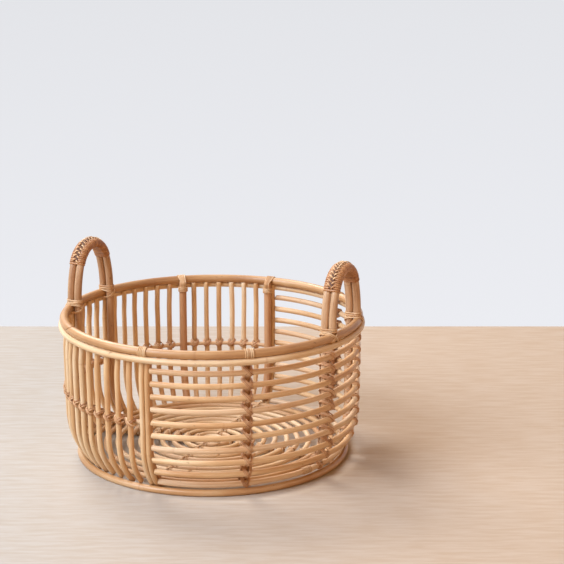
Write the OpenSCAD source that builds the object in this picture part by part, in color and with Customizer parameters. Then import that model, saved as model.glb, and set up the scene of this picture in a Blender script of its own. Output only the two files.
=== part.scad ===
// Round storage basket of bent rattan cane with two upright handles, in millimetres.
// Half of the wall is upright canes and the other half is stacked level rails.
// Z is up and the basket stands on Z = 0. The origin is the middle of the foot.
// X runs through the two handles: the rails are on the +X side, the uprights on the -X side.
// The canes touch where they are nailed or lashed, so neighbours are drawn a hair apart.

/* [Rim] */
// Radius of the rim hoop, to the middle of its cane
rim_r = 214; // [200:1:230]
// Height of the rim hoop, to the middle of its cane
rim_z = 207; // [200:1:215]
// Diameter of the rim cane
rim_cane = 12.6; // [11:0.1:13]
// Diameter of the hoop under the rim
under_cane = 9.2; // [8:0.1:10]
// How far the hoop under the rim stands outside the rim
under_out = 4.3; // [3:0.1:5]

/* [Wall] */
// Diameter of the posts and of the handle canes
post_cane = 11.2; // [10:0.1:12]
// Diameter of the upright canes
upright_cane = 8; // [7:0.1:8.2]
// Diameter of the rails
rail_cane = 8.2; // [7:0.1:8.6]
// Spaces between uprights round the half of the wall that they fill
upright_spaces = 33; // [24:1:34]
// Number of rails, one above the other
rail_count = 10; // [7:1:10]
// Height of the lowest rail
rail_low_z = 16; // [15.5:0.5:17]
// Height of the highest rail
rail_high_z = 181; // [170:1:182]
// Height of the cut ends of the uprights, to the middle of the cane
upright_low_z = 9; // [9:0.5:12]
// Outward lean of the wall above the bend, in degrees
wall_lean = 0.8; // [0.4:0.1:1]
// Radius of the bend at the foot of the wall
bend_r = 88; // [84:1:90]
// Height at which the bend starts
bend_z = 70; // [68:1:72]
// Angle from the handles to the posts between a handle and a corner
side_post_angle = 51.3; // [48:0.1:54]

/* [Handles] */
// Half of the distance between the legs of a handle, to the middle of the canes
handle_half = 47.8; // [44:0.1:50]
// Height of a handle, to the middle of its cane at the top
handle_top_z = 294.5; // [285:0.5:300]
// Height at which the legs start to lean together
arch_z = 217; // [217:1:220]
// Radius of the slow curve up each leg
leg_curve_r = 140; // [130:1:160]

/* [Floor] */
// Diameter of the foot hoop
foot_cane = 10.2; // [9:0.1:10.4]
// Depth of the flat worn under the foot hoop
foot_flat = 0.6; // [0.4:0.1:0.8]
// Diameter of the floor rings
floor_cane = 7.4; // [6.6:0.1:7.6]
// Diameter of the ribs under the floor rings
rib_cane = 7; // [6:0.1:7]
// Number of floor rings outside the coil
floor_ring_count = 10; // [8:1:10]
// Radius of the smallest floor ring
floor_ring_first = 25.5; // [24:0.5:27]
// Distance from one floor ring to the next
floor_ring_pitch = 16.6; // [16:0.1:16.6]
// Gap between a rib and the ground
rib_clear = 2.2; // [2:0.1:2.4]
// Distance from the middle to each end of the long rib
rib_long_end = 182; // [180:1:182]

/* [Binding] */
// Diameter of the inner hoop that steadies the uprights
stay_cane = 6; // [5:0.1:6.4]
// Height of that hoop
stay_z = 103; // [95:1:112]
// Thickness of the binding strip
strip = 1.4; // [1:0.1:1.6]
// Width of a binding over the rim
wrap_w = 12; // [9:0.5:14]
// Height of the collars round the legs of the handles
collar_h = 8; // [6:0.5:8]
// Half of the thickness of a lashing
tie_r = 0.8; // [0.6:0.1:0.8]

/* [Hidden] */
$fn = 48;
gap = 0.3;              // hair's breadth between canes that touch
seat = 2;               // length of a straight cane that runs on over its own bend
shy = 0.1;              // how much thinner a bend is than its straight length
cane_color = [0.86, 0.68, 0.46];
strip_color = [0.70, 0.50, 0.31];
corners = [-90, 90];    // angles of the two corner posts
tie_clear = 0.4;        // gap between a lashing and the canes inside it
collar_clear = 1;       // gap between a collar and the rim
wrap_mouth = 9;         // depth below the rim's middle at which a binding is open
wrap_cut = 60;          // size of the block that opens a binding
grip_inset = 1;         // angle between the start of the handle's crown and its binding
rail_end_turn = 0.35;   // angle between the end of a rail and the corner uprights
splice_rail = 1;        // rail that has a short binding, its place and its turns
splice_angle = -22;
splice_turns = 5;
splice_pitch = 3.4;

// Rim: the lower hoop hangs against the rim hoop, a little outside it.
under_r = rim_r + under_out;
under_z = rim_z - sqrt(pow((rim_cane + under_cane) / 2 + gap / 2, 2) - pow(under_out, 2));

// Posts stand just inside the rim, and the wall's canes lie just outside the posts.
post_r = rim_r - (rim_cane + post_cane) / 2 - gap;
bend_c = post_r + (post_cane + max(rail_cane, upright_cane)) / 2 + gap - bend_r;
post_bend = post_r - bend_c;
post_end = 40;          // angle that a post's foot has turned through
post_top_z = rim_z - 1;
upright_top_z = rim_z - rim_cane / 2 - gap;
lap_r = under_r - under_cane / 2 - gap;     // an upright is halved there, to sit behind the lower hoop
lap_z = under_z - under_cane / 2 - gap;
upright_end = asin((bend_z - upright_low_z) / bend_r);
joint_z = bend_z - bend_r * sin(wall_lean);
joint_r = bend_c + bend_r * cos(wall_lean);

// The pair of uprights at a corner touch each other, and the rails end beside them.
pair_angle = asin((upright_cane + gap) / 2 / joint_r);
upright_step = (180 - 2 * pair_angle) / upright_spaces;
rail_end_angle = 2 * pair_angle + rail_end_turn;
rail_step = (rail_high_z - rail_low_z) / (rail_count - 1);

// Handles: the inner cane of each runs down inside as two posts, the outer one stands on the rim.
inner_x = sqrt(pow(post_r, 2) - pow(handle_half, 2));
outer_x = inner_x + post_cane + gap;
leg_angle = asin(handle_half / post_r);
arch_a = leg_curve_r - handle_half;
arch_b = leg_curve_r - (handle_top_z - arch_z);
arch_q = (arch_a * arch_a + arch_b * arch_b) / (2 * arch_b);
arch_top_r = leg_curve_r - arch_q;
arch_turn = acos(arch_a / arch_q);
arch_top_c = arch_z + arch_q * sin(arch_turn);
seat_turn = 0.6;        // angle by which a leg's curve runs on over the crown

// Floor: ribs above the ground, rings on the ribs.
rib_z = rib_clear + rib_cane / 2;
floor_z = rib_z + (rib_cane + floor_cane) / 2 + gap / 2;
foot_z = foot_cane / 2 - foot_flat;
foot_r = bend_c + sqrt(pow(bend_r + (upright_cane + foot_cane) / 2 + gap, 2) - pow(bend_z - foot_z, 2));
rib_side_end = foot_r - foot_cane / 2 - gap;

// Angles of the posts in the half with uprights, and the uprights in each bay between them.
back_posts = [90, 180 - side_post_angle, 180 - leg_angle, 180 + leg_angle, 270];
stay_clear = 1.85;      // angle between a post's middle and the end of the stay hoop
function upright_angle(k) = 90 + pair_angle + k * upright_step;
function bay_of(a) = 1 + len([for (i = [1:3]) if (a > back_posts[i] + stay_clear) i]);
function at_post(a) = len([for (p = back_posts) if (abs(a - p) < stay_clear) p]) > 0;
lashed_posts = [-side_post_angle, -leg_angle, leg_angle, side_post_angle];

function numbered(name, i) = str(name, i < 10 ? "0" : "", i);

// Radius of the wall's line of canes at a height, and how far the wall has turned there.
function wall_r(z) = z > joint_z ? joint_r + (z - joint_z) * tan(wall_lean)
    : bend_c + sqrt(bend_r * bend_r - pow(bend_z - z, 2));
function wall_turn(z) = z > joint_z ? 0 : asin((bend_z - z) / bend_r);
// Distance from that line in to the middle of a post.
function post_in(z) = z > joint_z ? wall_r(z) - post_r : bend_r - post_bend;
function rail_z(i) = rail_low_z + (i - 1) * rail_step;
function floor_ring_r(i) = floor_ring_first + (i - 1) * floor_ring_pitch;

// A ring of cane round the Z axis, whole or from one angle to another.
module ring(r, z, d) {
    translate([0, 0, z]) rotate_extrude() translate([r, 0]) circle(d = d);
}
module ring_arc(r, z, d, from, to) {
    translate([0, 0, z]) rotate([0, 0, from])
        rotate_extrude(angle = to - from) translate([r, 0]) circle(d = d);
}

// A curved cane in the plane of X and Z, turning down from +X by an angle.
module bend(r, d, from, to) {
    rotate([-90, 0, 0]) rotate([0, 0, from])
        rotate_extrude(angle = to - from) translate([r, 0]) circle(d = d);
}
// The same in the plane of Y and Z, turning up from +Y.
module arch(r, from, to) {
    rotate([90, 0, 90]) rotate([0, 0, from])
        rotate_extrude(angle = to - from) translate([r, 0]) children();
}

// One upright cane: straight down from the rim, then bent in over the foot hoop.
module upright(a) {
    rotate([0, 0, a]) {
        difference() {
            translate([joint_r, 0, joint_z]) rotate([0, wall_lean, 0]) translate([0, 0, -seat])
                cylinder(d = upright_cane, h = seat + (upright_top_z - joint_z) / cos(wall_lean));
            translate([lap_r, -upright_cane, lap_z]) cube(2 * upright_cane);
        }
        translate([bend_c, 0, bend_z]) bend(bend_r, upright_cane - shy, wall_lean, upright_end);
    }
}
// The foot of a post or of a handle's leg.
module post_foot() {
    translate([bend_c, 0, bend_z]) bend(post_bend, post_cane - shy, 0, post_end);
}
module post_length(top) {
    translate([0, 0, bend_z - seat]) cylinder(d = post_cane, h = seat + top - bend_z);
}
module post(a) {
    rotate([0, 0, a]) {
        translate([post_r, 0, 0]) post_length(post_top_z);
        post_foot();
    }
}

// The bow of a handle above arch_z, in the plane X = 0.
module handle_bow() {
    for (side = [0, 180]) rotate([0, 0, side])
        translate([0, handle_half - leg_curve_r, arch_z]) arch(leg_curve_r, 0, arch_turn + seat_turn)
            circle(d = post_cane);
    translate([0, 0, arch_top_c]) arch(arch_top_r, arch_turn, 180 - arch_turn)
        circle(d = post_cane - shy);
}
module handle_inner() {
    translate([inner_x, 0, 0]) handle_bow();
    for (side = [-1, 1]) {
        translate([inner_x, side * handle_half, 0]) post_length(arch_z);
        rotate([0, 0, side * leg_angle]) post_foot();
    }
}
module handle_outer() {
    foot = rim_z + rim_cane / 2 + gap;
    translate([outer_x, 0, 0]) {
        handle_bow();
        for (side = [-1, 1])
            translate([0, side * handle_half, foot]) cylinder(d = post_cane, h = arch_z - foot);
    }
}

// Strip bound round the two canes of a handle, side by side in section.
module pair_section(t) {
    for (s = [-1, 1]) translate([s * (post_cane + gap) / 2, 0]) circle(d = post_cane + 2 * t);
    square([post_cane + gap, post_cane + 2 * t], center = true);
}
module pair_band() {
    difference() {
        pair_section(gap + strip);
        pair_section(gap);
    }
}
module grip_wrap() {
    translate([(inner_x + outer_x) / 2, 0, arch_top_c])
        arch(arch_top_r, arch_turn + grip_inset, 180 - grip_inset - arch_turn) rotate(90) pair_band();
}

// Outline of a strip drawn tight over two round canes in section.
module link(p, rp, q, rq) {
    run = q - p;
    way = atan2(run[1], run[0]);
    lift = acos((rp - rq) / norm(run));
    translate(p) circle(r = rp);
    translate(q) circle(r = rq);
    polygon([for (e = [[p, rp, -1], [q, rq, -1], [q, rq, 1], [p, rp, 1]])
        e[0] + e[1] * [cos(way + e[2] * lift), sin(way + e[2] * lift)]]);
}
module rim_outline(t) {
    rim = [rim_r, rim_z];
    under = [under_r, under_z];
    head = [post_r, post_top_z];
    link(rim, rim_cane / 2 + t, under, under_cane / 2 + t);
    link(head, post_cane / 2 + t, rim, rim_cane / 2 + t);
    link(head, post_cane / 2 + t, under, under_cane / 2 + t);
    polygon([rim, under, head]);
}
// A binding over the rim: up the outside, over the top and down behind the head of a post.
module rim_wrap(a) {
    mouth = [under_r, rim_z - wrap_mouth];
    rotate([0, 0, a]) rotate([90, 0, 0]) linear_extrude(wrap_w, center = true) difference() {
        rim_outline(gap + strip);
        rim_outline(gap);
        translate(mouth - [wrap_cut, wrap_cut]) square(wrap_cut);
    }
}

// Place something on the wall's line at an angle and a height, facing out along X.
module on_wall(a, z) {
    rotate([0, 0, a]) translate([wall_r(z), 0, z]) rotate([0, wall_turn(z), 0]) children();
}
// A loop of strip that ties two crossed canes, from depth low to depth high along X.
module lashing(low, high) {
    loop_r = (high - low) / 2 + tie_clear + tie_r;
    translate([(low + high) / 2, 0, 0]) rotate([45, 0, 0])
        rotate_extrude() translate([loop_r, 0]) circle(r = tie_r);
}

// Sub-parts of the rim and the foot.
module rim_hoop() color(cane_color) ring(rim_r, rim_z, rim_cane);
module under_hoop() color(cane_color) ring(under_r, under_z, under_cane);
module foot_hoop() color(cane_color) difference() {
    ring(foot_r, foot_z, foot_cane);
    translate([0, 0, -foot_cane]) cylinder(r = foot_r + foot_cane, h = foot_cane);
}
module rim_wraps() color(strip_color)
    for (a = concat(corners, [-side_post_angle, side_post_angle, 180 - side_post_angle])) rim_wrap(a);

// Sub-parts of the handles.
module handle_right_inner() color(cane_color) handle_inner();
module handle_right_outer() color(cane_color) handle_outer();
module handle_left_inner() color(cane_color) rotate([0, 0, 180]) handle_inner();
module handle_left_outer() color(cane_color) rotate([0, 0, 180]) handle_outer();
module grip_wrap_right() color(strip_color) grip_wrap();
module grip_wrap_left() color(strip_color) rotate([0, 0, 180]) grip_wrap();
module leg_collars() color(strip_color)
    for (side = [0, 180], leg = [-1, 1]) rotate([0, 0, side])
        translate([(inner_x + outer_x) / 2, leg * handle_half, rim_z + rim_cane / 2 + collar_clear])
            linear_extrude(collar_h) pair_band();

// Sub-parts of the wall.
module post_at(a) color(cane_color) post(a);
module corner_uprights(a) color(cane_color)
    for (s = [-1, 1]) rotate([0, 0, a]) translate([0, s * (upright_cane + gap) / 2, 0]) upright(0);
module bay_uprights(bay) color(cane_color)
    for (k = [1:upright_spaces - 1]) if (bay_of(upright_angle(k)) == bay) upright(upright_angle(k));
module rail(i) color(cane_color)
    ring_arc(wall_r(rail_z(i)), rail_z(i), rail_cane, rail_end_angle - 90, 90 - rail_end_angle);
module stay_hoop(bay) color(cane_color)
    ring_arc(wall_r(stay_z) - (upright_cane + stay_cane) / 2 - gap, stay_z, stay_cane,
        back_posts[bay - 1] + stay_clear, back_posts[bay] - stay_clear);
module rail_lashings(a) color(strip_color)
    for (i = [1:rail_count])
        on_wall(a, rail_z(i)) lashing(-post_in(rail_z(i)) - post_cane / 2, rail_cane / 2);
module rail_splice() color(strip_color)
    on_wall(splice_angle, rail_z(splice_rail)) for (k = [0:splice_turns - 1])
        translate([0, (k - (splice_turns - 1) / 2) * splice_pitch, 0]) rotate([90, 0, 0])
            rotate_extrude() translate([rail_cane / 2 + tie_clear + tie_r, 0]) circle(r = tie_r);
module stay_lashings() color(strip_color)
    for (k = [1:upright_spaces - 1]) if (!at_post(upright_angle(k))) on_wall(upright_angle(k), stay_z)
        lashing(-upright_cane / 2 - stay_cane - gap, upright_cane / 2);

// Sub-parts of the floor.
module floor_ring(i) color(cane_color) ring(floor_ring_r(i), floor_z, floor_cane);
module floor_coil() color(cane_color) for (turn = [0, 1])
    ring(floor_cane / 2 + gap + turn * (floor_cane + gap), floor_z, floor_cane);
module floor_rib_long() color(cane_color)
    translate([0, 0, rib_z]) rotate([90, 0, 0]) cylinder(d = rib_cane, h = 2 * rib_long_end, center = true);
module floor_rib_side() {
    start = rib_cane / 2 + gap;
    translate([start, 0, rib_z]) rotate([0, 90, 0]) cylinder(d = rib_cane, h = rib_side_end - start);
}
module floor_rib_right() color(cane_color) floor_rib_side();
module floor_rib_left() color(cane_color) rotate([0, 0, 180]) floor_rib_side();
module floor_lashings() color(strip_color)
    for (a = [0:90:270], i = [1:floor_ring_count])
        rotate([0, 0, a]) translate([floor_ring_r(i), 0, 0]) rotate([0, -90, 0])
            lashing(rib_z - rib_cane / 2, floor_z + floor_cane / 2);

rim_hoop();
under_hoop();
foot_hoop();
for (i = [1:4]) stay_hoop(i);
handle_right_inner();
handle_right_outer();
handle_left_inner();
handle_left_outer();
post_at(corners[0]);  // corner_post_1
post_at(corners[1]);  // corner_post_2
post_at(-side_post_angle);  // wall_post_1
post_at(side_post_angle);  // wall_post_2
post_at(180 - side_post_angle);  // wall_post_3
corner_uprights(corners[0]);  // corner_uprights_1
corner_uprights(corners[1]);  // corner_uprights_2
for (i = [1:4]) bay_uprights(i);
for (i = [1:rail_count]) rail(i);
for (i = [1:floor_ring_count]) floor_ring(i);
floor_coil();
floor_rib_long();
floor_rib_right();
floor_rib_left();
rim_wraps();
leg_collars();
grip_wrap_right();
grip_wrap_left();
for (i = [1:4]) rail_lashings(lashed_posts[i - 1]);
rail_splice();
stay_lashings();
floor_lashings();
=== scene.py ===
"""A low round basket of rattan cane: every cane, wrapped strip and knot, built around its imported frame."""

import math

import bpy
import numpy as np
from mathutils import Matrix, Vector


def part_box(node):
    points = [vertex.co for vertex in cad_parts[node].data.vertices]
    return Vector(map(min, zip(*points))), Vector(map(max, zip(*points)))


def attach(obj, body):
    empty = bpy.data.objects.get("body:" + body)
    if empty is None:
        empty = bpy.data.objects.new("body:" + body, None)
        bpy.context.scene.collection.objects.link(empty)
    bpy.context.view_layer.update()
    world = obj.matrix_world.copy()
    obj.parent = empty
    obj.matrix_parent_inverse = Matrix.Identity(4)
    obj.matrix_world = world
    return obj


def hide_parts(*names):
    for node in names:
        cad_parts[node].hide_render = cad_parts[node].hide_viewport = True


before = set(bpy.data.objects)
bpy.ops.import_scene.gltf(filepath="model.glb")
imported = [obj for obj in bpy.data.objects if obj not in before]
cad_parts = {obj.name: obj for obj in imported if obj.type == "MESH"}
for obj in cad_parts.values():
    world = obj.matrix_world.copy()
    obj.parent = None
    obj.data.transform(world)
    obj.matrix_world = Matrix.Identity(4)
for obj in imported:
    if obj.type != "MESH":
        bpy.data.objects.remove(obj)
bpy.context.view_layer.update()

rng = np.random.default_rng(20)

UP = np.array([0.0, 0.0, 1.0])
OUT_X = np.array([1.0, 0.0, 0.0])
MM = 0.001

# ---------------------------------------------------------------- sizes, from the frame


def hoop(node):
    """Radius to the middle of a level cane, its height, and the cane's diameter."""
    low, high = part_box(node)
    cane = high.z - low.z
    return high.x - cane / 2, (low.z + high.z) / 2, cane


RIM_R, RIM_Z, RIM_CANE = hoop("rim_hoop")
UNDER_R, UNDER_Z, UNDER_CANE = hoop("under_hoop")
FOOT_CANE = 10.2 * MM   # the foot hoop is planed flat below, so its box is lower than its cane
FOOT_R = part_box("foot_hoop")[1].x - FOOT_CANE / 2
FOOT_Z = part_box("foot_hoop")[1].z - FOOT_CANE / 2
RAILS = [hoop(f"rail_{i:02d}") for i in range(1, 11)]
RAIL_CANE = RAILS[0][2]
FLOOR_RINGS = [hoop(f"floor_ring_{i:02d}") for i in range(1, 11)]
FLOOR_Z, FLOOR_CANE = FLOOR_RINGS[0][1:]
POST_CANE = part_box("corner_post_1")[1].x * 2
POST_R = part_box("corner_post_2")[1].y - POST_CANE / 2
POST_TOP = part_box("corner_post_1")[1].z
UPRIGHT_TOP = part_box("corner_uprights_1")[1].z
RIB_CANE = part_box("floor_rib_long")[1].x * 2
RIB_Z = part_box("floor_rib_long")[0].z + RIB_CANE / 2
RIB_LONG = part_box("floor_rib_long")[1].y
RIB_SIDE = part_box("floor_rib_right")[1].x
STAY_LOW, STAY_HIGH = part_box("stay_hoop_4")
STAY_CANE = STAY_HIGH.z - STAY_LOW.z
STAY_Z = (STAY_LOW.z + STAY_HIGH.z) / 2
HANDLE_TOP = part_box("handle_right_outer")[1].z - POST_CANE / 2
HANDLE_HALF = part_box("handle_right_outer")[1].y - POST_CANE / 2
OUTER_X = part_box("handle_right_outer")[1].x - POST_CANE / 2
GAP = 0.3 * MM          # between canes that lie side by side
INNER_X = OUTER_X - POST_CANE - GAP
UPRIGHT_CANE = 8.0 * MM
STAY_DEPTH = (UPRIGHT_CANE + STAY_CANE) / 2 + GAP

# The wall: canes lean out a little above a bend, which turns in towards the foot.
LEAN = math.radians(0.8)
BEND_R = 88.0 * MM
BEND_Z = 70.0 * MM
BEND_C = POST_R + (POST_CANE + RAIL_CANE) / 2 + GAP - BEND_R
POST_END = math.radians(40)
UPRIGHT_FOOT = 9 * MM
UPRIGHT_END = math.asin((BEND_Z - UPRIGHT_FOOT) / BEND_R)
JOINT_Z = BEND_Z - BEND_R * math.sin(LEAN)
JOINT_R = BEND_C + BEND_R * math.cos(LEAN)
PAIR = math.asin((UPRIGHT_CANE + GAP) / 2 / JOINT_R)
UPRIGHT_SPACES = 33
UPRIGHT_STEP = (math.pi - 2 * PAIR) / UPRIGHT_SPACES
UPRIGHTS = [math.pi / 2 + PAIR + k * UPRIGHT_STEP for k in range(1, UPRIGHT_SPACES)]
RAIL_END = 2 * PAIR + math.radians(0.35)   # a rail stops just short of a corner's two uprights
LEG_ANGLE = math.asin(HANDLE_HALF / POST_R)
SIDE_ANGLE = math.radians(51.3)
ARCH_Z = 217.0 * MM
LEG_CURVE = 140.0 * MM
CORNERS = (-math.pi / 2, math.pi / 2)
BACK_POSTS = [math.pi / 2, math.pi - SIDE_ANGLE, math.pi - LEG_ANGLE, math.pi + LEG_ANGLE, 3 * math.pi / 2]
RAIL_POSTS = [-SIDE_ANGLE, -LEG_ANGLE, LEG_ANGLE, SIDE_ANGLE]
BESIDE_POST = math.radians(1.85)   # an upright as near as this to a post stands in front of it


def wall_r(z):
    """Radius of the wall's line of canes at a height."""
    if z > JOINT_Z:
        return JOINT_R + (z - JOINT_Z) * math.tan(LEAN)
    return BEND_C + math.sqrt(BEND_R ** 2 - (BEND_Z - z) ** 2)


def wall_turn(z):
    """How far the wall has turned in from upright at a height."""
    return 0.0 if z > JOINT_Z else math.asin((BEND_Z - z) / BEND_R)


def post_in(z):
    """Distance from the wall's line in to the middle of a post."""
    return wall_r(z) - POST_R if z > JOINT_Z else BEND_C + BEND_R - POST_R


def radial(angle):
    return np.array([math.cos(angle), math.sin(angle), 0.0])


def tangent(angle):
    return np.array([-math.sin(angle), math.cos(angle), 0.0])


# ---------------------------------------------------------------- camera

CAM_TURN = math.radians(-64.3)
CAM_RANGE = 2284.5 * MM
CAM_HEIGHT = 825.4 * MM
CAM_YAW = math.radians(2.56)
CAM_PITCH = math.radians(14.05)
CAM_LENS = 103.4
CAM_SENSOR = 36
CAM_CLIP = (0.05, 50)


def make_camera():
    cam = bpy.data.objects.new("camera", bpy.data.cameras.new("camera"))
    bpy.context.scene.collection.objects.link(cam)
    cam.data.sensor_width = CAM_SENSOR
    cam.data.lens = CAM_LENS
    cam.data.clip_start, cam.data.clip_end = CAM_CLIP
    cam.location = Vector(radial(CAM_TURN) * CAM_RANGE + UP * CAM_HEIGHT)
    ahead = -radial(CAM_TURN) * math.cos(CAM_YAW) + tangent(CAM_TURN) * math.sin(CAM_YAW)
    look = Vector(ahead * math.cos(CAM_PITCH) - UP * math.sin(CAM_PITCH))
    cam.rotation_mode = "QUATERNION"
    cam.rotation_quaternion = look.to_track_quat("-Z", "Y")
    bpy.context.scene.camera = cam


# ---------------------------------------------------------------- meshes


class Mesh:
    """Collects canes and strips into one piece. Each vertex keeps its place on the straight cane
    that was bent (straight), its cane's own tone, and how close it is to a node or a cut end (mark)."""

    def __init__(self):
        self.verts, self.faces = [], []
        self.straight, self.tone, self.mark = [], [], []
        self.count = 0

    def add(self, verts, faces, straight, tone, mark):
        self.verts.append(verts)
        self.faces += [tuple(i + self.count for i in f) for f in faces]
        self.straight.append(straight)
        self.tone.append(np.full(len(verts), tone))
        self.mark.append(mark)
        self.count += len(verts)

    def piece(self, name, material, slot, *nodes):
        mesh = bpy.data.meshes.new(name)
        mesh.from_pydata(np.concatenate(self.verts), [], self.faces)
        for key, kind, data in (("straight", "FLOAT_VECTOR", self.straight), ("tone", "FLOAT", self.tone),
                                ("mark", "FLOAT", self.mark)):
            layer = mesh.attributes.new(key, kind, "POINT")
            layer.data.foreach_set("vector" if kind == "FLOAT_VECTOR" else "value",
                                   np.concatenate(data).astype(np.float32).ravel())
        mesh.polygons.foreach_set("use_smooth", np.ones(len(mesh.polygons), bool))
        mesh.materials.append(material)
        mesh.update()
        obj = bpy.data.objects.new(name, mesh)
        bpy.context.scene.collection.objects.link(obj)
        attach(obj, "root")
        if nodes:
            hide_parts(*nodes)
        return obj


def distances(points):
    """Distance along a line to each of its points."""
    return np.concatenate([[0], np.cumsum(np.linalg.norm(np.diff(points, axis=0), axis=1))])


def interpolate(at, places, rows):
    """Each column of rows, given at places, read off at new places."""
    return np.stack([np.interp(at, places, rows[:, k]) for k in range(rows.shape[1])], 1)


def resample(points, step):
    """Points at even distances along a line, those distances and its length."""
    run = distances(points)
    at = np.linspace(0, run[-1], max(int(round(run[-1] / step)), 3) + 1)
    return interpolate(at, run, points), at, run[-1]


def directions(points, closed=False):
    if closed:
        way = np.roll(points, -1, 0) - np.roll(points, 1, 0)
    else:
        way = np.gradient(points, axis=0)
    return way / np.linalg.norm(way, axis=1, keepdims=True)


def unit(v):
    return v / np.linalg.norm(v, axis=-1, keepdims=True)


def wander(at, length, size):
    """A smooth random offset along a cane, from a few slow waves."""
    out = np.zeros_like(at)
    for wave in (1, 2, 3, 5):
        cycles = wave * 0.5 + rng.uniform(0, 0.4)
        out += np.sin(2 * math.pi * cycles * at / length + rng.uniform(0, 6.3)) * rng.normal() / wave
    return out * size * 0.6


NODE_GAP = 430 * MM      # usual distance between a cane's nodes
NODE_WIDTH = 2.6 * MM
NODE_SWELL = 0.026       # how much thicker a cane is at a node
UNEVEN = 0.012           # how far a cane's thickness and roundness vary
THICK_WAVE = 41 * MM
OVAL_WAVE = 60 * MM
STILL_END = 12 * MM      # a cane wanders less than this near to its ends
END_STEPS = 4            # rings of points over which a slanting end straightens
CAP_INSET = 0.9          # a cut end has a low rounded edge, this share of its cane's radius
CAP_RISE = (0.35 * MM, 0.4 * MM)


def cane(mesh, points, width, side, step=3.2 * MM, sides=14, sway=0.5 * MM, bump=1.0, cuts=(0.0, 0.0),
         floor=None):
    """One round cane along points. side is a direction that is never along it, for each point or for all.
    sway is how far it wanders, and bump is how much its nodes swell. cuts are the slants of its two ends,
    as the tangent of an angle. floor is a height that it is planed flat at."""
    points, at, length = resample(points, step)
    way = directions(points)
    side = np.broadcast_to(side, points.shape) if np.ndim(side) == 1 else side_at(side, len(points))
    n1 = unit(side - way * (side * way).sum(1, keepdims=True))
    n2 = np.cross(way, n1)
    taper = np.clip(np.minimum(at, length - at) / STILL_END, 0, 1)
    points = points + n1 * (wander(at, length, sway) * taper)[:, None]
    points = points + n2 * (wander(at, length, sway) * taper)[:, None]

    start = rng.uniform(0, 10)
    tone = rng.uniform(0, 1)
    first = rng.uniform(0.05, 1.1) * NODE_GAP
    nodes = np.arange(first, length, NODE_GAP * rng.uniform(0.8, 1.2))
    near = np.zeros(len(at))
    for n in nodes:
        near = np.maximum(near, np.exp(-((at - n) / NODE_WIDTH) ** 2))
    theta = np.arange(sides) * 2 * math.pi / sides
    grow = 1 + UNEVEN * np.sin(at / THICK_WAVE + start) + NODE_SWELL * bump * near
    radius = width / 2 * (1 - UNEVEN) * grow
    oval = 1 + UNEVEN * np.cos(2 * theta[None, :] + at[:, None] / OVAL_WAVE + start)
    r = radius[:, None] * oval

    # Slanted ends: each ring's points slide along the cane.
    fade = np.clip(1 - np.arange(len(at)) / END_STEPS, 0, 1)
    slide = (fade * cuts[0] + fade[::-1] * cuts[1])[:, None] * width / 2 * np.cos(theta)[None, :]
    verts = (points[:, None, :] + n1[:, None, :] * (r * np.cos(theta))[..., None]
             + n2[:, None, :] * (r * np.sin(theta))[..., None] + way[:, None, :] * slide[..., None])
    if floor is not None:
        verts[..., 2] = np.maximum(verts[..., 2], floor)
    straight = np.stack([r * np.cos(theta), r * np.sin(theta), at[:, None] + slide + start], -1)
    rows = len(at)
    verts, straight, mark = verts.reshape(-1, 3), straight.reshape(-1, 3), np.repeat(near, sides)
    faces = tube_faces(rows, sides, closed=False)
    for row, turn in ((0, -1), (rows - 1, 1)):
        ring = [row * sides + j for j in range(sides)]
        mid, push = verts[ring].mean(0), way[row] * turn
        base = len(verts)
        inner = mid + (verts[ring] - mid) * CAP_INSET + push * CAP_RISE[0]
        verts = np.vstack([verts, inner, mid + push * CAP_RISE[1]])
        flat = straight[ring] * np.array([CAP_INSET, CAP_INSET, 1])
        straight = np.vstack([straight, flat, [[0, 0, at[row] + start]]])
        mark = np.concatenate([mark, np.full(sides + 1, -1.0)])
        for j in range(sides):
            k = (j + 1) % sides
            for face in ((ring[k], base + k, base + j, ring[j]), (base + k, base + sides, base + j)):
                faces.append(face if turn < 0 else face[::-1])
    mesh.add(verts, faces, straight, tone, mark)


def tube_faces(rows, sides, closed):
    """Faces of a tube of rows of points, each with the same number of sides, facing out."""
    faces = []
    for i in range(rows if closed else rows - 1):
        a, b = i * sides, (i + 1) % rows * sides
        faces += [(b + j, b + (j + 1) % sides, a + (j + 1) % sides, a + j) for j in range(sides)]
    return faces


def side_at(side, count):
    """Spreads a list of directions over a new number of points."""
    return interpolate(np.linspace(0, 1, count), np.linspace(0, 1, len(side)), side)


STRIP_T = 1.0 * MM
STRIP_CLEAR = 0.15 * MM   # between a strip and the cane under it
STRIP_END_MARK = -0.6
# A strip's section, as shares of its width and its thickness: domed outside, flat inside.
STRIP_SECTION = [(-0.5, 0.1), (-0.42, 0.62), (-0.2, 0.94), (0, 1), (0.2, 0.94), (0.42, 0.62), (0.5, 0.1),
                 (0.4, 0), (-0.4, 0)]


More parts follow.
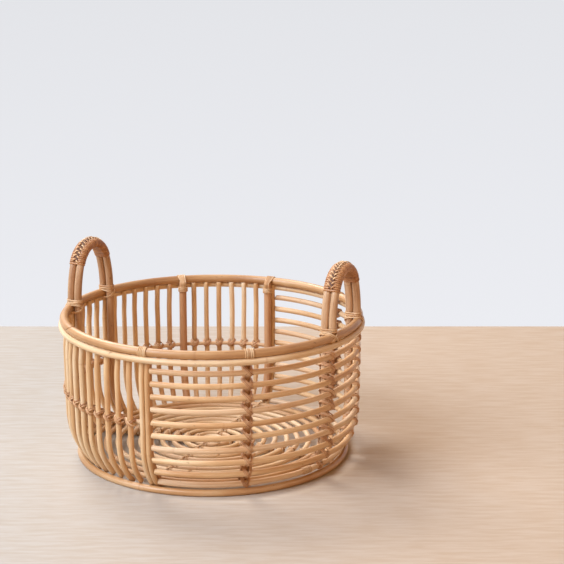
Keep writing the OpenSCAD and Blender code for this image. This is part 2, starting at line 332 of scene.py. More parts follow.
def strip(mesh, points, out, width, thick=STRIP_T, closed=False, tone=None):
    """A flat strip of rattan skin along points, lying on a surface whose outward directions are out.
    width is one number or one for each point."""
    points, out = np.asarray(points), unit(np.asarray(out))
    way = directions(points, closed)
    out = unit(out - way * (out * way).sum(1, keepdims=True))
    across = np.cross(way, out)
    width = np.broadcast_to(width, len(points))
    section = np.array(STRIP_SECTION)
    u = section[None, :, 0] * width[:, None]
    v = np.repeat(section[None, :, 1] * thick, len(points), 0)
    verts = points[:, None, :] + across[:, None, :] * u[..., None] + out[:, None, :] * v[..., None]
    run = distances(points) + rng.uniform(0, 10)
    rows, n = len(points), len(section)
    straight = np.stack([u, v, np.repeat(run[:, None], n, 1)], -1)
    faces = tube_faces(rows, n, closed)
    mark = np.zeros((rows, n))
    if not closed:
        faces += [tuple(range(n)), tuple((rows - 1) * n + j for j in range(n))[::-1]]
        mark[0] = mark[-1] = STRIP_END_MARK
    tone = rng.uniform(0, 1) if tone is None else tone
    mesh.add(verts.reshape(-1, 3), faces, straight.reshape(-1, 3), tone, mark.ravel())


def hull_loop(shapes, clear, count):
    """The tight loop round ellipses (x, y, half width, half height): its points and outward normals."""
    spots, normals = [], []
    for k in range(count * 3):
        a = 2 * math.pi * k / (count * 3)
        c, s = math.cos(a), math.sin(a)
        best = max(shapes, key=lambda e: e[0] * c + e[1] * s + math.hypot(e[2] * c, e[3] * s))
        h = math.hypot(best[2] * c, best[3] * s)
        spots.append((best[0] + best[2] ** 2 * c / h + clear * c, best[1] + best[3] ** 2 * s / h + clear * s))
        normals.append((c, s))
    spots, normals = np.array(spots + spots[:1]), np.array(normals + normals[:1])
    run = distances(spots)
    at = np.linspace(0, run[-1], count, endpoint=False)
    return interpolate(at, run, spots), unit(interpolate(at, run, normals))


TURN_SPACING = 1.12      # distance between a tie's turns, as a share of its strip's width


def tie(mesh, origin, u, v, w, canes, width, turns=2, tilt=45, lift=0.0, count=36):
    """Strips tied crosswise round canes that cross, in two slanting directions, tilt degrees off u.
    u runs along the wall, v up it and w out of it. Each cane is (axis, across, out, radius), with axis
    "u" or "v", across its place along the other of the two, and out its place along w."""
    for layer, sign in enumerate((1, -1)):
        a = math.radians(tilt) * sign
        d = math.cos(a) * u + math.sin(a) * v
        beside = np.cross(d, w)
        shapes = []
        for axis, across, out, radius in canes:
            share = abs(math.sin(a)) if axis == "u" else abs(math.cos(a))
            middle = across / (math.sin(a) if axis == "u" else math.cos(a))
            shapes.append((middle, out, radius / share, radius))
        clear = STRIP_CLEAR + lift + layer * STRIP_T * 0.8
        spots, normals = hull_loop(shapes, clear, count)
        for turn in range(turns):
            shift = (turn - (turns - 1) / 2) * width * TURN_SPACING
            points = origin + beside * shift + spots[:, :1] * d + spots[:, 1:] * w
            strip(mesh, points, normals[:, :1] * d + normals[:, 1:] * w, width, closed=True)


def tail(mesh, origin, way, out, length, width):
    """The short loose end of a strip."""
    t = np.linspace(0, 1, 5)[:, None]
    strip(mesh, origin + way * t * length + out * (t ** 2) * length * 0.25, np.repeat([out], 5, 0), width)


# ---------------------------------------------------------------- materials


def node_tree(name):
    material = bpy.data.materials.new(name)
    material.use_nodes = True
    tree = material.node_tree
    tree.nodes.clear()
    return material, tree


def add(tree, kind, inputs=None, **settings):
    """Adds a node with its settings, and its inputs as values or as links from other nodes' outputs."""
    node = tree.nodes.new(kind)
    for key, value in settings.items():
        setattr(node, key, value)
    for key, value in (inputs or {}).items():
        feed(tree, node.inputs[key], value)
    return node


def feed(tree, socket, value):
    """Links an input to another node's output, or sets it to a value."""
    if isinstance(value, bpy.types.NodeSocket):
        tree.links.new(value, socket)
    else:
        socket.default_value = value


def srgb(red, green, blue):
    """A colour given in sRGB from 0 to 255, as linear values."""
    def line(c):
        c /= 255
        return c / 12.92 if c <= 0.04045 else ((c + 0.055) / 1.055) ** 2.4
    return (line(red), line(green), line(blue), 1)


def ramp(tree, factor, stops):
    node = add(tree, "ShaderNodeValToRGB", {"Fac": factor})
    while len(node.color_ramp.elements) < len(stops):
        node.color_ramp.elements.new(0.5)
    for element, (place, color) in zip(node.color_ramp.elements, stops):
        element.position = place
        element.color = color
    return node.outputs["Color"]


MIX_COLOR_INPUTS = (0, 6, 7)   # a mix node's factor and its two colours
MIX_COLOR_OUTPUT = 2


def mix(tree, factor, a, b, blend="MIX"):
    node = add(tree, "ShaderNodeMix", data_type="RGBA", blend_type=blend)
    for index, value in zip(MIX_COLOR_INPUTS, (factor, a, b)):
        feed(tree, node.inputs[index], value)
    return node.outputs[MIX_COLOR_OUTPUT]


def math_node(tree, operation, a, b, clamp=False):
    return add(tree, "ShaderNodeMath", {0: a, 1: b}, operation=operation, use_clamp=clamp).outputs[0]


BLACK, WHITE = (0, 0, 0, 1), (1, 1, 1, 1)
SPECK_SHADE = 0.42       # how dark specks and cut fibres are, as a share of the cane's darkest colour
NODE_STAIN = 0.45
END_STAIN = 0.75
BUMP_DEPTH = 0.5 * MM
ROUGH_BELOW, ROUGH_ABOVE = 0.08, 0.14


def rattan(name, pale, mid, dark, roughness=0.42, grain=0.5, speck=0.5):
    """Peeled rattan: slow patches of colour, streaks along the cane, specks, nodes and fibrous cut ends.
    grain and speck are how strongly its streaks and its specks show."""
    material, tree = node_tree(name)
    straight = add(tree, "ShaderNodeAttribute", attribute_name="straight").outputs["Vector"]
    tone = add(tree, "ShaderNodeAttribute", attribute_name="tone").outputs["Fac"]
    mark = add(tree, "ShaderNodeAttribute", attribute_name="mark").outputs["Fac"]

    def scaled(x, y, z):
        return add(tree, "ShaderNodeVectorMath", {0: straight, 1: (x, y, z)}, operation="MULTIPLY").outputs[0]

    def noise(vector, detail, rough=0.55):
        return add(tree, "ShaderNodeTexNoise", {"Vector": vector, "Scale": 1.0, "Detail": detail,
                                                "Roughness": rough}).outputs["Fac"]

    def times(value, share, clamp=False):
        return math_node(tree, "MULTIPLY", value, share, clamp)

    patches = noise(scaled(45, 45, 11), 3)
    streaks = noise(scaled(520, 520, 9), 4, 0.65)
    fibres = noise(scaled(1500, 1500, 45), 3, 0.6)
    blotch = noise(scaled(140, 140, 90), 2)
    tint = math_node(tree, "ADD", times(patches, 0.75), times(tone, 0.34))
    base = ramp(tree, tint, [(0.28, pale), (0.55, mid), (0.86, dark)])
    lines = ramp(tree, streaks, [(0.42, BLACK), (0.72, WHITE)])
    base = mix(tree, times(lines, grain), base, dark)
    brown = tuple(c * SPECK_SHADE for c in dark[:3]) + (1,)
    spots = ramp(tree, blotch, [(0.70, BLACK), (0.78, WHITE)])
    base = mix(tree, times(spots, speck), base, brown)
    joint = ramp(tree, mark, [(0.5, BLACK), (1.0, WHITE)])
    base = mix(tree, times(joint, NODE_STAIN), base, dark)
    ends = times(mark, -1, clamp=True)
    base = mix(tree, times(ends, END_STAIN), base, mix(tree, fibres, brown, pale))

    surface = math_node(tree, "ADD", times(streaks, 0.6), times(fibres, 0.4))
    bump = add(tree, "ShaderNodeBump", {"Strength": 0.35, "Distance": BUMP_DEPTH, "Height": surface})
    rough = add(tree, "ShaderNodeMapRange", {"Value": blotch, "To Min": roughness - ROUGH_BELOW,
                                             "To Max": roughness + ROUGH_ABOVE}).outputs[0]
    shader = add(tree, "ShaderNodeBsdfPrincipled", {"Base Color": base, "Roughness": rough,
                                                    "Normal": bump.outputs[0]})
    shader.inputs["Specular IOR Level"].default_value = 0.5
    add(tree, "ShaderNodeOutputMaterial", {"Surface": shader.outputs[0]})
    return material


CANE = rattan("rattan_cane", srgb(240, 221, 189), srgb(227, 194, 149), srgb(194, 145, 95), 0.38)
CANE_DULL = rattan("rattan_cane_dull", srgb(233, 211, 180), srgb(218, 183, 142), srgb(186, 137, 93), 0.46)
# The rim's own darker, glossier cane. The foot hoop shares it, and there its darker colour is painted shade
# for where the foot sits under the basket.
RIM_SKIN_AND_FOOT_SHADE = rattan("rattan_rim", srgb(220, 192, 152), srgb(198, 156, 109), srgb(155, 103, 60), 0.32)
HANDLE = rattan("rattan_handle", srgb(231, 206, 176), srgb(208, 172, 133), srgb(150, 100, 63), 0.34, 0.8)
POST = rattan("rattan_post", srgb(219, 179, 138), srgb(201, 155, 113), srgb(163, 111, 74), 0.44)
STRIP = rattan("rattan_strip", srgb(230, 204, 168), srgb(216, 179, 134), srgb(178, 129, 85), 0.4, 0.5, 0.25)
TIE = rattan("rattan_tie", srgb(229, 194, 153), srgb(210, 164, 120), srgb(152, 102, 64), 0.4, 0.6, 0.4)
GRIP = rattan("rattan_grip", srgb(209, 162, 112), srgb(184, 131, 85), srgb(137, 85, 50), 0.36, 0.5, 0.25)
BRAID = rattan("rattan_braid", srgb(231, 203, 163), srgb(214, 176, 130), srgb(168, 118, 76), 0.4, 0.5, 0.25)
# Painted shade: a dark strip under the braid, for the shade in the deep holes between its stitches.
BRAID_HOLE_SHADE = rattan("rattan_braid_painted_shade", srgb(118, 74, 44), srgb(96, 56, 32), srgb(70, 38, 20), 0.6, 0.3, 0.1)

# ---------------------------------------------------------------- hoops

CIRCLE_STEP = 2.0 * MM
SEAM = 0.5 * MM
RIM_SEAM, UNDER_SEAM, FOOT_SEAM = math.radians(-133), math.radians(38), math.radians(152)
STAY_GAP = math.radians(1.75)   # from the middle of a post to the end of a stay


def circle(radius, z, start, end):
    """A level arc from one angle to another."""
    count = max(int(abs(end - start) * radius / CIRCLE_STEP), 8)
    a = np.linspace(start, end, count)
    return np.stack([radius * np.cos(a), radius * np.sin(a), np.full(count, z)], 1)


def seamed_hoop(name, node, radius, z, width, seam, slant=1.7, material=CANE, slot="hoop_cane",
                sway=0.35 * MM, sides=16, floor=None):
    """A hoop whose two ends meet in a slanting cut at the angle seam."""
    half = SEAM / 2 / radius
    mesh = Mesh()
    cane(mesh, circle(radius, z, seam + half, seam + 2 * math.pi - half), width, UP, sway=sway, sides=sides,
         cuts=(slant, slant), floor=floor)
    return mesh.piece(name, material, slot, node)


def make_hoops():
    seamed_hoop("rim", "rim_hoop", RIM_R, RIM_Z, RIM_CANE, RIM_SEAM, material=RIM_SKIN_AND_FOOT_SHADE, sides=20)
    seamed_hoop("under_rim", "under_hoop", UNDER_R, UNDER_Z, UNDER_CANE, UNDER_SEAM)
    # The foot takes the rim's darker colour as painted shade, for where it sits low under the basket.
    seamed_hoop("foot", "foot_hoop", FOOT_R, FOOT_Z, FOOT_CANE, FOOT_SEAM, material=RIM_SKIN_AND_FOOT_SHADE, sway=0.2 * MM,
                floor=0.0)
    stay_r = wall_r(STAY_Z) - STAY_DEPTH
    for i, (post, following) in enumerate(zip(BACK_POSTS, BACK_POSTS[1:])):
        mesh = Mesh()
        cane(mesh, circle(stay_r, STAY_Z, post + STAY_GAP, following - STAY_GAP), STAY_CANE, UP, sides=12,
             sway=0.3 * MM)
        mesh.piece(f"stay_{i + 1}", CANE_DULL, "hoop_cane", f"stay_hoop_{i + 1}")


# ---------------------------------------------------------------- wall

BEND_POINTS = 24
POST_POINTS = 30
UPRIGHT_POINTS = 40
UPRIGHT_RISE = 0.8 * MM    # how far a top stands above its halved cane in the frame
LEAN_IN = 2 * MM           # how far a top leans in behind the hoop under the rim
LEAN_START, LEAN_RUN = 36 * MM, 28 * MM


def bend(radius, start, end):
    """Radius and height along the bend at the foot of the wall, from one turn to another."""
    a = np.linspace(start, end, BEND_POINTS)
    return np.stack([BEND_C + radius * np.cos(a), BEND_Z - radius * np.sin(a)], 1)


def profile(angle, outline):
    """An outline of radius and height, stood up at an angle round the basket."""
    return outline[:, :1] * radial(angle) + outline[:, 1:] * UP


def post_outline(top):
    """Radius and height down a post."""
    line = np.stack([np.full(POST_POINTS, POST_R), np.linspace(top, BEND_Z, POST_POINTS)], 1)
    return np.vstack([line[:-1], bend(POST_R - BEND_C, 0, POST_END)])


def make_posts():
    spots = {"corner_post_1": CORNERS[0], "corner_post_2": CORNERS[1], "wall_post_1": -SIDE_ANGLE,
             "wall_post_2": SIDE_ANGLE, "wall_post_3": math.pi - SIDE_ANGLE}
    for node, angle in spots.items():
        mesh = Mesh()
        cane(mesh, profile(angle, post_outline(POST_TOP)), POST_CANE, tangent(angle), sides=18,
             sway=0.15 * MM)
        mesh.piece(node + "_cane", POST, "post_cane", node)


def upright_outline():
    """Radius and height down an upright, whose top leans in behind the hoop under the rim."""
    height = np.linspace(UPRIGHT_TOP + UPRIGHT_RISE, JOINT_Z, UPRIGHT_POINTS)
    lean = np.clip((height - (UPRIGHT_TOP - LEAN_START)) / LEAN_RUN, 0, 1)
    radius = JOINT_R + (height - JOINT_Z) * math.tan(LEAN) - LEAN_IN * lean ** 2 * (3 - 2 * lean)
    return np.vstack([np.stack([radius, height], 1)[:-1], bend(BEND_R, LEAN, UPRIGHT_END)])


def upright(mesh, angle, sway=0.54 * MM, beside=0.0):
    """An upright at an angle, moved beside it by a small distance."""
    cane(mesh, profile(angle, upright_outline()) + beside * tangent(angle),
         UPRIGHT_CANE * rng.uniform(0.94, 1.01), -tangent(angle), sway=sway, bump=0.8,
         cuts=(0.0, rng.choice([-0.8, -0.5, 0.5, 0.8])))


def make_uprights():
    for i, angle in enumerate(CORNERS):
        mesh = Mesh()
        for side in (-1, 1):
            upright(mesh, angle, 0.06 * MM, side * (UPRIGHT_CANE + GAP) / 2)
        mesh.piece(f"corner_uprights_{i + 1}_canes", CANE, "upright_cane", f"corner_uprights_{i + 1}")
    bays = [Mesh() for _ in BACK_POSTS[1:]]
    for angle in UPRIGHTS:
        bay = sum(angle > post + BESIDE_POST for post in BACK_POSTS[1:-1])
        upright(bays[bay], angle)
    for i, mesh in enumerate(bays):
        mesh.piece(f"uprights_{i + 1}", CANE, "upright_cane", f"bay_uprights_{i + 1}")


def make_rails():
    end = math.pi / 2 - RAIL_END
    for i, (radius, z, width) in enumerate(RAILS):
        mesh = Mesh()
        cane(mesh, circle(radius, z, -end, end), width, UP, sway=0.55 * MM, bump=1.2,
             cuts=tuple(rng.uniform(-0.4, 0.4, 2)))
        mesh.piece(f"rail_cane_{i + 1:02d}", CANE if i % 3 else CANE_DULL, "rail_cane", f"rail_{i + 1:02d}")


# ---------------------------------------------------------------- handles

# A bow is three arcs that meet smoothly: a wide one up from each leg, and a tighter one over the top.
ARCH_A = LEG_CURVE - HANDLE_HALF
ARCH_B = LEG_CURVE - (HANDLE_TOP - ARCH_Z)
ARCH_Q = (ARCH_A ** 2 + ARCH_B ** 2) / (2 * ARCH_B)
ARCH_R = LEG_CURVE - ARCH_Q
ARCH_TURN = math.acos(ARCH_A / ARCH_Q)
ARCH_C = ARCH_Z + ARCH_Q * math.sin(ARCH_TURN)
LEG_POINTS, TOP_POINTS = 24, 60
LEG_STAND = 0.2 * MM     # between the rim and the outer cane that stands on it
FOOT_FADE = 12 * MM      # half the height over which a leg's direction turns to its foot's


def bow():
    """The bow of a handle as (y, z), from the foot of one leg's curve to the other's."""
    a = np.linspace(0, ARCH_TURN, LEG_POINTS)
    leg = np.stack([HANDLE_HALF - LEG_CURVE + LEG_CURVE * np.cos(a), ARCH_Z + LEG_CURVE * np.sin(a)], 1)
    b = np.linspace(ARCH_TURN, math.pi - ARCH_TURN, TOP_POINTS)
    top = np.stack([ARCH_R * np.cos(b), ARCH_C + ARCH_R * np.sin(b)], 1)
    return np.vstack([leg[:-1], top, (leg * [-1, 1])[::-1][1:]])


def turned(points, side):
    """Turns the right handle's points round to the left handle's place."""
    return points if side > 0 else points * np.array([-1.0, -1.0, 1.0])


def make_handles():
    line = bow()
    stand = RIM_Z + RIM_CANE / 2 + LEG_STAND
    for name, side in (("right", 1), ("left", -1)):
        outer = np.vstack([[[HANDLE_HALF, stand]], line, [[-HANDLE_HALF, stand]]])
        outer = np.column_stack([np.full(len(outer), OUTER_X), outer])
        mesh = Mesh()
        cane(mesh, turned(outer, side), POST_CANE, OUT_X, sides=18, sway=0.25 * MM)
        mesh.piece(f"handle_{name}_outer_cane", HANDLE, "handle_cane", f"handle_{name}_outer")

        foot = bend(POST_R - BEND_C, 0, POST_END)
        right = profile(LEG_ANGLE, foot)[::-1]
        left = profile(-LEG_ANGLE, foot)
        inner = np.column_stack([np.full(len(line), INNER_X), line])
        inner = np.vstack([right[:-1], inner, left[1:]])
        mesh = Mesh()
        cane(mesh, turned(inner, side), POST_CANE, handle_side(inner, side), sides=18, sway=0.2 * MM)
        mesh.piece(f"handle_{name}_inner_cane", HANDLE, "handle_cane", f"handle_{name}_inner")


def handle_side(points, side):
    """Directions square to a handle's inner cane: along Y in its feet, which bend in the X plane."""
    low = np.clip((BEND_Z + FOOT_FADE - points[:, 2]) / (2 * FOOT_FADE), 0, 1)[:, None]
    across = -np.sign(points[:, 1:2]) * np.array([0.0, 1.0, 0.0])
    return turned(OUT_X * (1 - low) + across * low, side)


# ---------------------------------------------------------------- floor

SPIRAL_START = 2.6 * MM
SPIRAL_TURN = 3.1 * math.pi
SPIRAL_POINTS = 90
RIB_POINTS = 40
FLOOR_TIE_W = 1.9 * MM


def make_floor():
    for i, (radius, z, width) in enumerate(FLOOR_RINGS):
        seamed_hoop(f"floor_cane_{i + 1:02d}", f"floor_ring_{i + 1:02d}", radius, z, width,
                    rng.uniform(0, 2 * math.pi), slant=2.0, material=CANE if i % 2 else CANE_DULL,
                    slot="floor_cane", sway=0.45 * MM, sides=12)
    turn = np.linspace(0, SPIRAL_TURN, SPIRAL_POINTS)
    spread = SPIRAL_START + (FLOOR_CANE + GAP) * turn / (2 * math.pi)
    spiral = np.stack([spread * np.cos(turn), spread * np.sin(turn), np.full(SPIRAL_POINTS, FLOOR_Z)], 1)
    mesh = Mesh()
    cane(mesh, spiral, FLOOR_CANE, UP, step=1.8 * MM, sway=0.0, sides=12, cuts=(0.6, 1.4))
    mesh.piece("floor_spiral", CANE, "floor_cane", "floor_coil")

    start = RIB_CANE / 2 + GAP
    ribs = {"floor_rib_long": ((0, -RIB_LONG), (0, RIB_LONG)), "floor_rib_right": ((start, 0), (RIB_SIDE, 0)),
            "floor_rib_left": ((-start, 0), (-RIB_SIDE, 0))}
    for node, ends in ribs.items():
        mesh = Mesh()
        line = np.linspace(*[np.array([x, y, RIB_Z]) for x, y in ends], RIB_POINTS)
        cane(mesh, line, RIB_CANE, UP, sides=12, sway=0.12 * MM)
        mesh.piece(node + "_cane", CANE_DULL, "floor_cane", node)

    mesh = Mesh()
    for quarter in range(4):
        away, along = radial(quarter * math.pi / 2), tangent(quarter * math.pi / 2)
        for radius, z, width in FLOOR_RINGS:
            canes = [("u", 0, 0, width / 2), ("v", 0, RIB_Z - z, RIB_CANE / 2)]
            tie(mesh, away * radius + UP * z, along, away, UP, canes, FLOOR_TIE_W, count=28)
    mesh.piece("floor_ties", STRIP, "binding_strip", "floor_lashings")


# ---------------------------------------------------------------- bindings on the wall

RAIL_TIE_W = 1.6 * MM
TAIL_W = 1.9 * MM
TAIL_PLACE = (5.6 * MM, 1.2 * MM, 4.2 * MM)   # beside, out from and below the middle of a tie
LADDER_W = 3.0 * MM      # the strip up the inside of a post, between ties
LADDER_END = 4 * MM      # and where it stops, above and below a rail
LADDER_CLEAR = 0.1 * MM
SPLICE_ANGLE = math.radians(-22)
SPLICE_TURNS = 5
SPLICE_PITCH = 3.4 * MM
SPLICE_W = 2.4 * MM
STAY_TIE_W = 2.3 * MM
STAY_TIE_ROOM = 0.2 * MM
STAY_TIE_LIFT = 0.3 * MM


def on_wall(angle, z):
    """A point on the wall's line of canes, with the ways along, up and out of the wall there."""
    turn = wall_turn(z)
    up = math.sin(turn) * radial(angle) + math.cos(turn) * UP
    out = math.cos(turn) * radial(angle) - math.sin(turn) * UP
    return wall_r(z) * radial(angle) + z * UP, tangent(angle), up, out


def make_rail_ties():
    for i, angle in enumerate(RAIL_POSTS):
        mesh = Mesh()
        for k, (_, z, _) in enumerate(RAILS):
            origin, along, up, out = on_wall(angle, z)
            canes = [("u", 0, 0, RAIL_CANE / 2), ("v", 0, -post_in(z), POST_CANE / 2)]
            tie(mesh, origin, along, up, out, canes, RAIL_TIE_W, turns=3, tilt=48)
            side = rng.choice([-1, 1])
            beside, proud, below = TAIL_PLACE
            tail(mesh, origin + along * side * beside + out * proud - up * below,
                 unit(along * side - up * rng.uniform(0.3, 1.2)), out, rng.uniform(2, 3.4) * MM, TAIL_W)
            if k < len(RAILS) - 1:
                rise = np.linspace(z + LADDER_END, RAILS[k + 1][1] - LADDER_END, 8)
                spots = [on_wall(angle, h) for h in rise]
                inner = [spot - away * (post_in(h) + POST_CANE / 2 + LADDER_CLEAR)
                         for h, (spot, _, _, away) in zip(rise, spots)]
                strip(mesh, inner, [-away for _, _, _, away in spots], LADDER_W)
        mesh.piece(f"rail_ties_{i + 1}", TIE, "binding_strip", f"rail_lashings_{i + 1}")


def make_splice():
    """A few turns of strip round the lowest rail."""
    mesh = Mesh()
    radius, z, width = RAILS[0]
    for k in range(SPLICE_TURNS):
        out = radial(SPLICE_ANGLE + (k - (SPLICE_TURNS - 1) / 2) * SPLICE_PITCH / radius)
        ring_round(mesh, out * radius + UP * z, out, UP, width / 2 + 0.2 * MM, SPLICE_W)
    mesh.piece("rail_splice_turns", STRIP, "binding_strip", "rail_splice")


def make_stay_ties():
    mesh = Mesh()
    for angle in UPRIGHTS:
        if min(abs(angle - post) for post in BACK_POSTS) < BESIDE_POST:
            continue
        origin, along, up, out = on_wall(angle, STAY_Z)
        canes = [("v", 0, 0, UPRIGHT_CANE / 2 + STAY_TIE_ROOM), ("u", 0, -STAY_DEPTH, STAY_CANE / 2)]
        tie(mesh, origin, along, up, out, canes, STAY_TIE_W, tilt=40, lift=STAY_TIE_LIFT, count=28)
    mesh.piece("stay_ties", TIE, "binding_strip", "stay_lashings")


WRAP_TURNS = 5
WRAP_W = 2.5 * MM
WRAP_PITCH = WRAP_W * 1.04
WRAP_OVER = (-58, 96)    # degrees round the rim, from outside it to its top and in
WRAP_TAIL_W = 1.75 * MM
WRAP_TAIL_PITCH = 1.7 * MM
WRAP_TAIL_DROP = 15 * MM
WRAP_TAIL_CLEAR = 0.1 * MM
HEAD_TURNS = 3           # turns round the head of a post, over the strips' ends
HEAD_DEPTH = 9 * MM
HEAD_PITCH = 2.7 * MM
RING_POINTS = 26


def rim_binding(mesh, angle):
    """Strips over the rim that run down inside on the head of a post, held by turns round the post."""
    out, along = radial(angle), tangent(angle)
    centre = out * RIM_R + UP * RIM_Z
    depth = RIM_R - POST_R
    for turn in range(WRAP_TURNS):
        shift = turn - (WRAP_TURNS - 1) / 2
        points, normals, widths = [], [], []
        for a in np.radians(np.linspace(*WRAP_OVER, 22)):
            normal = out * math.cos(a) + UP * math.sin(a)
            points.append(centre + along * shift * WRAP_PITCH + normal * (RIM_CANE / 2 + STRIP_CLEAR))
            normals.append(normal)
            widths.append(WRAP_W)
        across = shift * WRAP_TAIL_PITCH
        drop = math.sqrt((POST_CANE / 2 + WRAP_TAIL_CLEAR) ** 2 - across ** 2)
        inward = unit(along * across - out * drop)
        # The strip's end turns from lying on top of the post's head to lying on its inner side.
        for t in np.linspace(0, 1, 9):
            height = POST_TOP - RIM_Z + GAP - WRAP_TAIL_DROP * t ** 1.3
            points.append(centre - out * (depth + drop * min(1, 0.75 + t)) + along * across + UP * height)
            normals.append(unit(inward * min(1, 0.35 + 1.6 * t) + UP * max(0, 0.65 - 1.6 * t)))
            widths.append(WRAP_TAIL_W)
        strip(mesh, points, normals, np.array(widths))
    for k in range(HEAD_TURNS):
        ring_round(mesh, out * POST_R + UP * (POST_TOP - HEAD_DEPTH - HEAD_PITCH * k), out, along,
                   POST_CANE / 2 + WRAP_TAIL_CLEAR + STRIP_T, WRAP_W)


def ring_round(mesh, centre, x, y, radius, width):
    """One turn of strip round a cane, in the plane of x and y."""
    a = np.linspace(0, 2 * math.pi, RING_POINTS, endpoint=False)[:, None]
    normals = np.cos(a) * x + np.sin(a) * y
    strip(mesh, centre + normals * radius, normals, width, closed=True)


def make_rim_bindings():
    mesh = Mesh()
    for angle in (*CORNERS, -SIDE_ANGLE, SIDE_ANGLE, math.pi - SIDE_ANGLE):
        rim_binding(mesh, angle)
    mesh.piece("rim_bindings", STRIP, "binding_strip", "rim_wraps")


# ---------------------------------------------------------------- bindings on the handles

GRIP_TURN = 2.8 * MM     # width of a turn of the strip wound round a grip
GRIP_INSET = math.radians(1.5)
GRIP_JITTER = 0.004
GRIP_FILL = 0.97         # share of the grip that the turns cover, the rest being gaps
BRAID_STEP = 2           # a stitch for every so many turns
# The dark strip under the braid is painted shade for the holes between the stitches.
BRAID_SHADE_W, BRAID_SHADE_T = 7.0 * MM, 0.9 * MM
STITCH_W = 2.7 * MM
STITCH_SIDE = 6.4 * MM   # where a stitch starts, to the side of the crown's middle
STITCH_CROSS = 6.5 * MM  # how far it runs towards the middle
STITCH_RUN = 0.62        # and how far along the grip, as a share of a step
STITCH_RISE = 2.5 * MM   # how high the middle of a stitch stands over its ends
STITCH_SUNK = 0.8 * MM
CROWN_FLAT = 4 * MM      # half the width of the flat between a grip's two canes
CROWN_ROUND = 8 * MM
CROWN_TILT = 9 * MM
COLLAR_TURNS = 2
COLLAR_STAND, COLLAR_PITCH, COLLAR_W = 2.0 * MM, 2.9 * MM, 2.8 * MM
COLLAR_LEAN = 0.06
LEG_TIE_W = 2.0 * MM
PAIR_X = (INNER_X + OUTER_X) / 2
BOW_CENTRE = np.array([PAIR_X, 0, ARCH_C])
PAIR_CANES = [((OUTER_X - INNER_X) / 2 * s, 0, POST_CANE / 2, POST_CANE / 2) for s in (-1, 1)]


def make_grips():
    start, end = ARCH_TURN + GRIP_INSET, math.pi - ARCH_TURN - GRIP_INSET
    turns = int((end - start) * ARCH_R / GRIP_TURN)
    step = (end - start) / turns
    spots, normals = hull_loop(PAIR_CANES, STRIP_CLEAR, 44)
    for name, side in (("right", 1), ("left", -1)):
        mesh = Mesh()
        tone = rng.uniform(0.3, 0.7)
        for k in range(turns + 1):
            a = start + k * step + rng.normal() * GRIP_JITTER
            away = np.array([0, math.cos(a), math.sin(a)])
            centre = BOW_CENTRE + away * ARCH_R
            points = centre + spots[:, :1] * OUT_X + spots[:, 1:] * away
            out = normals[:, :1] * OUT_X + normals[:, 1:] * away
            width = step * (ARCH_R + spots[:, 1]) * GRIP_FILL
            strip(mesh, turned(points, side), turned(out, side), width, rng.uniform(0.85, 1.05) * STRIP_T,
                  closed=True, tone=tone + rng.normal() * 0.1)
        mesh.piece(f"grip_{name}", GRIP, "binding_strip", f"grip_wrap_{name}")
        braid(name, start, end, step * BRAID_STEP, side)


def braid(name, start, end, step, side):
    """Two rows of slanting stitches that meet along the crown of a grip, over a dark strip that is painted
    shade for the holes between the stitches.
    """
    def away_from_bow(a):
        return np.stack([np.zeros(len(a)), np.cos(a), np.sin(a)], 1)

    base = ARCH_R + POST_CANE / 2 + STRIP_CLEAR + STRIP_T * 0.7
    away = away_from_bow(np.linspace(start + 0.5 * step, end - 0.3 * step, TOP_POINTS))
    mesh = Mesh()
    strip(mesh, turned(BOW_CENTRE + away * base, side), turned(away, side), BRAID_SHADE_W, BRAID_SHADE_T)
    mesh.piece(f"grip_{name}_painted_shade", BRAID_HOLE_SHADE, "binding_strip", f"grip_wrap_{name}")
    mesh = Mesh()
    t = np.linspace(0, 1, 9)
    for k in range(int((end - start) / step)):
        for hand in (-1, 1):
            # Each stitch runs from the side of the grip to the middle of its crown.
            away = away_from_bow(start + (k + 0.35 + 0.2 * hand + STITCH_RUN * t) * step)
            x = hand * (STITCH_SIDE - STITCH_CROSS * t)
            lift = STITCH_RISE * np.sin(math.pi * t) - STITCH_SUNK
            fall = np.maximum(np.abs(x) - CROWN_FLAT, 0) ** 2 / CROWN_ROUND
            points = BOW_CENTRE + away * (base + lift - fall)[:, None] + x[:, None] * OUT_X
            out = away + (x / CROWN_TILT)[:, None] * OUT_X
            strip(mesh, turned(points, side), turned(out, side), STITCH_W)
    mesh.piece(f"grip_{name}_braid", BRAID, "binding_strip", f"grip_wrap_{name}")


def make_leg_ties():
    """Turns round each leg's two canes above the rim, and a cross tie of the inner cane to the rim."""
    mesh = Mesh()
    spots, normals = hull_loop(PAIR_CANES, STRIP_CLEAR, 40)
    for side in (1, -1):
        for leg in (1, -1):
            for k in range(COLLAR_TURNS):
                z = RIM_Z + RIM_CANE / 2 + COLLAR_STAND + COLLAR_PITCH * k
                lean = rng.uniform(-COLLAR_LEAN, COLLAR_LEAN)
                points = np.column_stack([PAIR_X + spots[:, 0], HANDLE_HALF * leg + spots[:, 1],
                                          z + spots[:, 0] * lean])
                out = np.column_stack([normals, np.zeros(len(normals))])
                strip(mesh, turned(points, side), turned(out, side), COLLAR_W, closed=True)
            angle = LEG_ANGLE * leg + (0 if side > 0 else math.pi)
            canes = [("u", 0, 0, RIM_CANE / 2), ("v", 0, POST_R - RIM_R, POST_CANE / 2)]
            tie(mesh, radial(angle) * RIM_R + UP * RIM_Z, tangent(angle), UP, radial(angle), canes, LEG_TIE_W,
                tilt=40, count=44)
    mesh.piece("leg_ties", STRIP, "binding_strip", "leg_collars")


# ---------------------------------------------------------------- stage and light

TABLE_EDGE = 0.67
TABLE_REACH = 3.0
TABLE_THICK = 0.04
TABLE_TURN = CAM_TURN + math.pi - CAM_YAW
